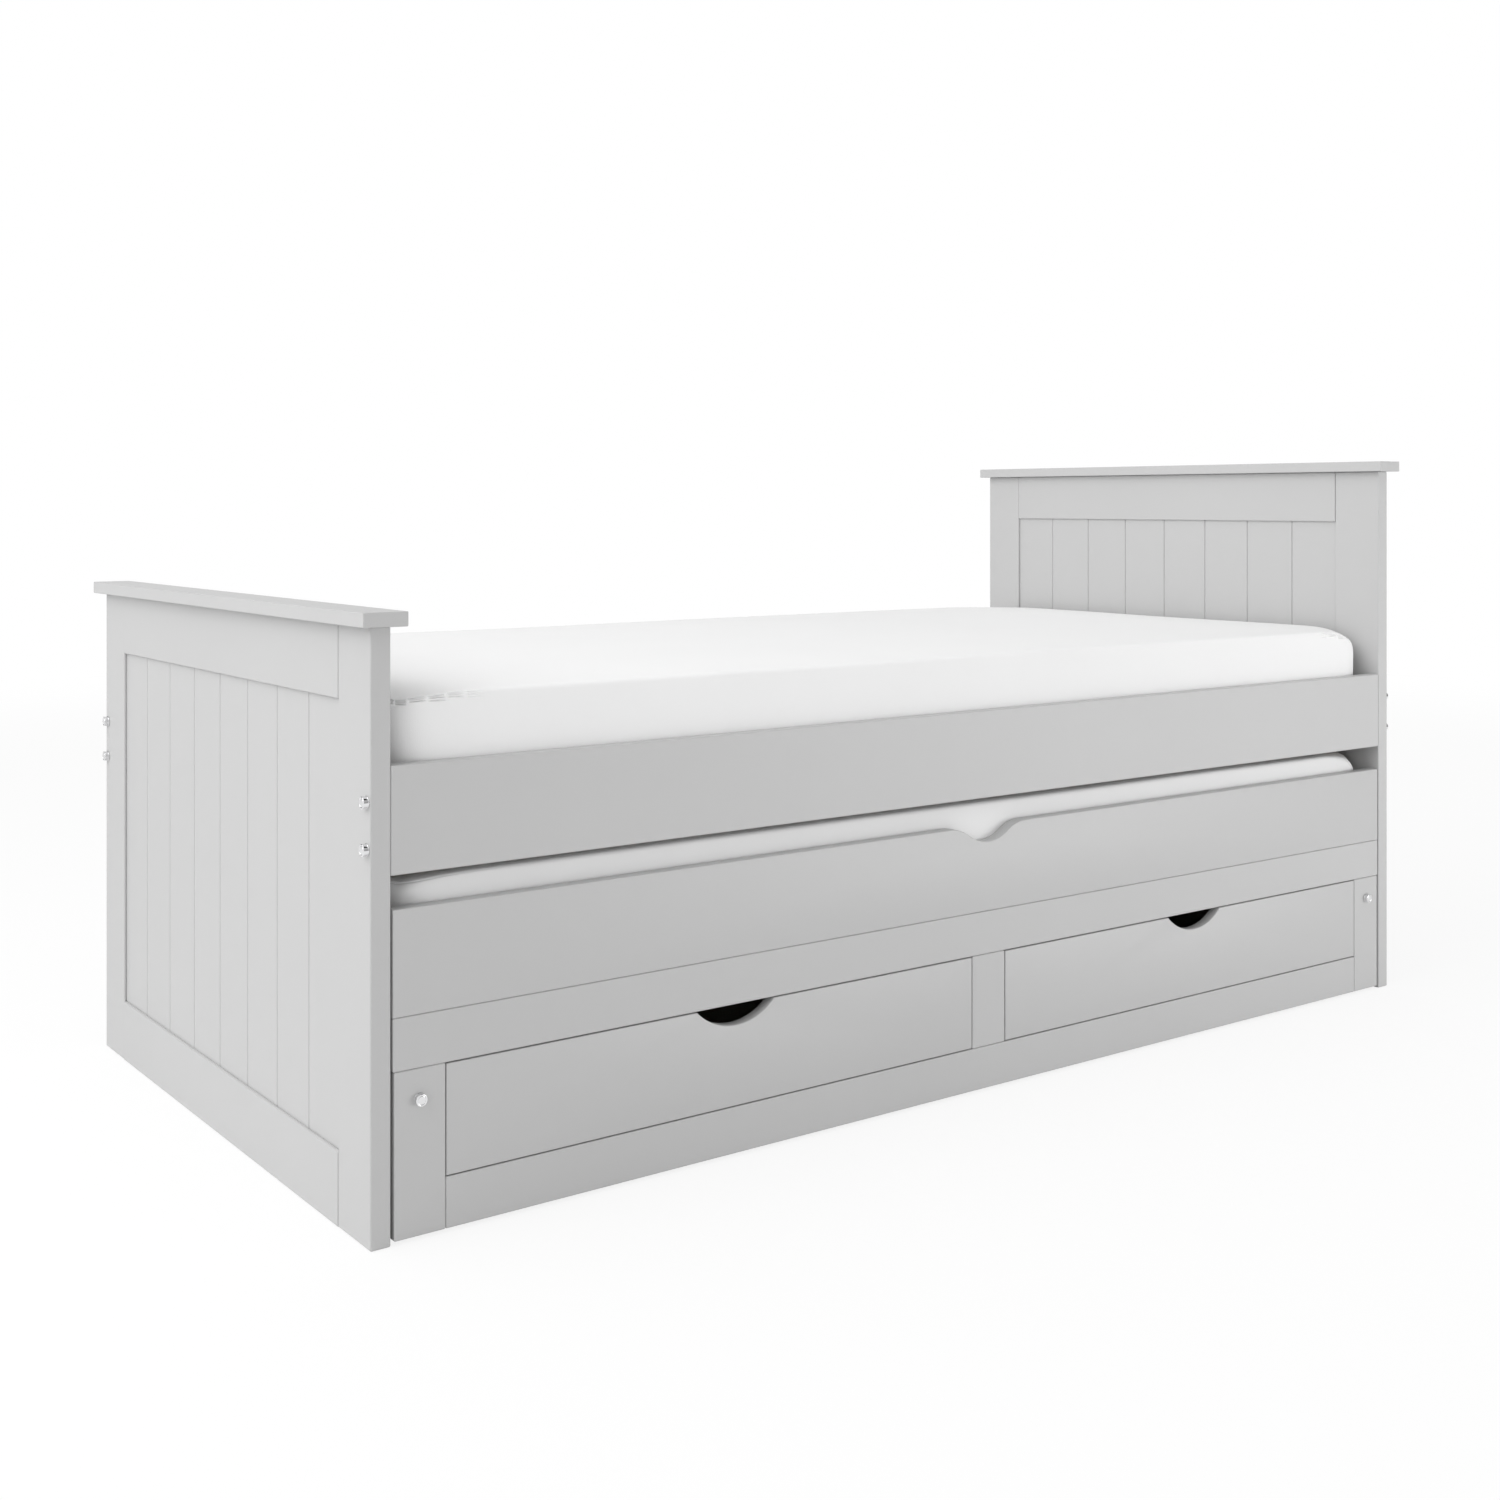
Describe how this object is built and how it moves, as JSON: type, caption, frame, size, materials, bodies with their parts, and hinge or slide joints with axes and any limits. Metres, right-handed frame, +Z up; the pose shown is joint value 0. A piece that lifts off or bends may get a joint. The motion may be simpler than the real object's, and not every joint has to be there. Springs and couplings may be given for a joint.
{
  "type": "trundle bed",
  "caption": "Painted single bed with panelled end boards and a roll-out guest bed below it, whose base holds pull-out storage drawers.",
  "frame": {"origin": "on the floor, under the middle of the bed's overall box", "axes": "+X towards the headboard along the bed's length, -Y towards the front where the guest bed rolls out, +Z up"},
  "size_m": [2.026, 1.04, 0.955],
  "materials": {
    "painted_board": "satin light grey paint on board, eased edges",
    "slat_pine": "planed bare pine slats",
    "runner_pine": "planed bare pine drawer runners",
    "drawer_board": "matt pale grey foiled drawer board",
    "mattress_ticking": "white knitted ticking over foam",
    "bolt_chrome": "bright plated steel",
    "castor_zinc": "zinc plated folded steel",
    "castor_nylon": "black nylon with a moulded satin tread"
  },
  "bodies": {
    "root": {"footboard_front_stile": "painted_board", "footboard_back_stile": "painted_board", "footboard_top_rail": "painted_board", "footboard_bottom_rail": "painted_board", "footboard_panel": "painted_board", "footboard_cap": "painted_board", "footboard_front_lower_bolt": "bolt_chrome", "footboard_front_upper_bolt": "bolt_chrome", "footboard_back_lower_bolt": "bolt_chrome", "footboard_back_upper_bolt": "bolt_chrome", "headboard_front_stile": "painted_board", "headboard_back_stile": "painted_board", "headboard_top_rail": "painted_board", "headboard_bottom_rail": "painted_board", "headboard_panel": "painted_board", "headboard_cap": "painted_board", "headboard_front_lower_bolt": "bolt_chrome", "headboard_front_upper_bolt": "bolt_chrome", "headboard_back_lower_bolt": "bolt_chrome", "headboard_back_upper_bolt": "bolt_chrome", "front_side_rail": "painted_board", "back_side_rail": "painted_board", "upper_slat_base": "slat_pine", "upper_mattress": "mattress_ticking"},
    "trundle": {"trundle_front_panel": "painted_board", "trundle_top_rail": "painted_board", "trundle_left_stile": "painted_board", "trundle_right_stile": "painted_board", "trundle_centre_stile": "painted_board", "trundle_bottom_rail": "painted_board", "trundle_left_end_board": "painted_board", "trundle_right_end_board": "painted_board", "trundle_back_board": "painted_board", "trundle_divider": "painted_board", "trundle_left_stile_bolt": "bolt_chrome", "trundle_right_stile_bolt": "bolt_chrome", "trundle_slat_base": "slat_pine", "trundle_mattress": "mattress_ticking", "left_drawer_runner": "runner_pine", "centre_drawer_runner": "runner_pine", "right_drawer_runner": "runner_pine", "front_left_castor_bracket": "castor_zinc", "front_right_castor_bracket": "castor_zinc", "back_left_castor_bracket": "castor_zinc", "back_right_castor_bracket": "castor_zinc"},
    "front_left_wheel": {"front_left_castor_wheel": "castor_nylon"},
    "front_right_wheel": {"front_right_castor_wheel": "castor_nylon"},
    "back_left_wheel": {"back_left_castor_wheel": "castor_nylon"},
    "back_right_wheel": {"back_right_castor_wheel": "castor_nylon"},
    "left_drawer": {"left_drawer_front": "painted_board", "left_drawer_inner_side": "drawer_board", "left_drawer_outer_side": "drawer_board", "left_drawer_back": "drawer_board", "left_drawer_bottom": "drawer_board"},
    "right_drawer": {"right_drawer_front": "painted_board", "right_drawer_inner_side": "drawer_board", "right_drawer_outer_side": "drawer_board", "right_drawer_back": "drawer_board", "right_drawer_bottom": "drawer_board"}
  },
  "joints": [
    {"name": "trundle_slide", "type": "slide", "parent": "root", "child": "trundle", "axis": [0, -1, 0], "range_m": [0, 0.95]},
    {"name": "left_drawer_slide", "type": "slide", "parent": "trundle", "child": "left_drawer", "axis": [0, -1, 0], "range_m": [0, 0.42]},
    {"name": "right_drawer_slide", "type": "slide", "parent": "trundle", "child": "right_drawer", "axis": [0, -1, 0], "range_m": [0, 0.42]},
    {"name": "front_left_wheel_roll", "type": "hinge", "parent": "trundle", "child": "front_left_wheel", "pos_m": [-0.911, -0.42, 0.025], "axis": [1, 0, 0], "continuous": true},
    {"name": "front_right_wheel_roll", "type": "hinge", "parent": "trundle", "child": "front_right_wheel", "pos_m": [0.911, -0.42, 0.025], "axis": [1, 0, 0], "continuous": true},
    {"name": "back_left_wheel_roll", "type": "hinge", "parent": "trundle", "child": "back_left_wheel", "pos_m": [-0.911, 0.4, 0.025], "axis": [1, 0, 0], "continuous": true},
    {"name": "back_right_wheel_roll", "type": "hinge", "parent": "trundle", "child": "back_right_wheel", "pos_m": [0.911, 0.4, 0.025], "axis": [1, 0, 0], "continuous": true}
  ],
  "couplings": [
    {"joint": "front_left_wheel_roll", "follows": "trundle_slide", "rad_per_m": 40},
    {"joint": "front_right_wheel_roll", "follows": "trundle_slide", "rad_per_m": 40},
    {"joint": "back_left_wheel_roll", "follows": "trundle_slide", "rad_per_m": 40},
    {"joint": "back_right_wheel_roll", "follows": "trundle_slide", "rad_per_m": 40}
  ]
}
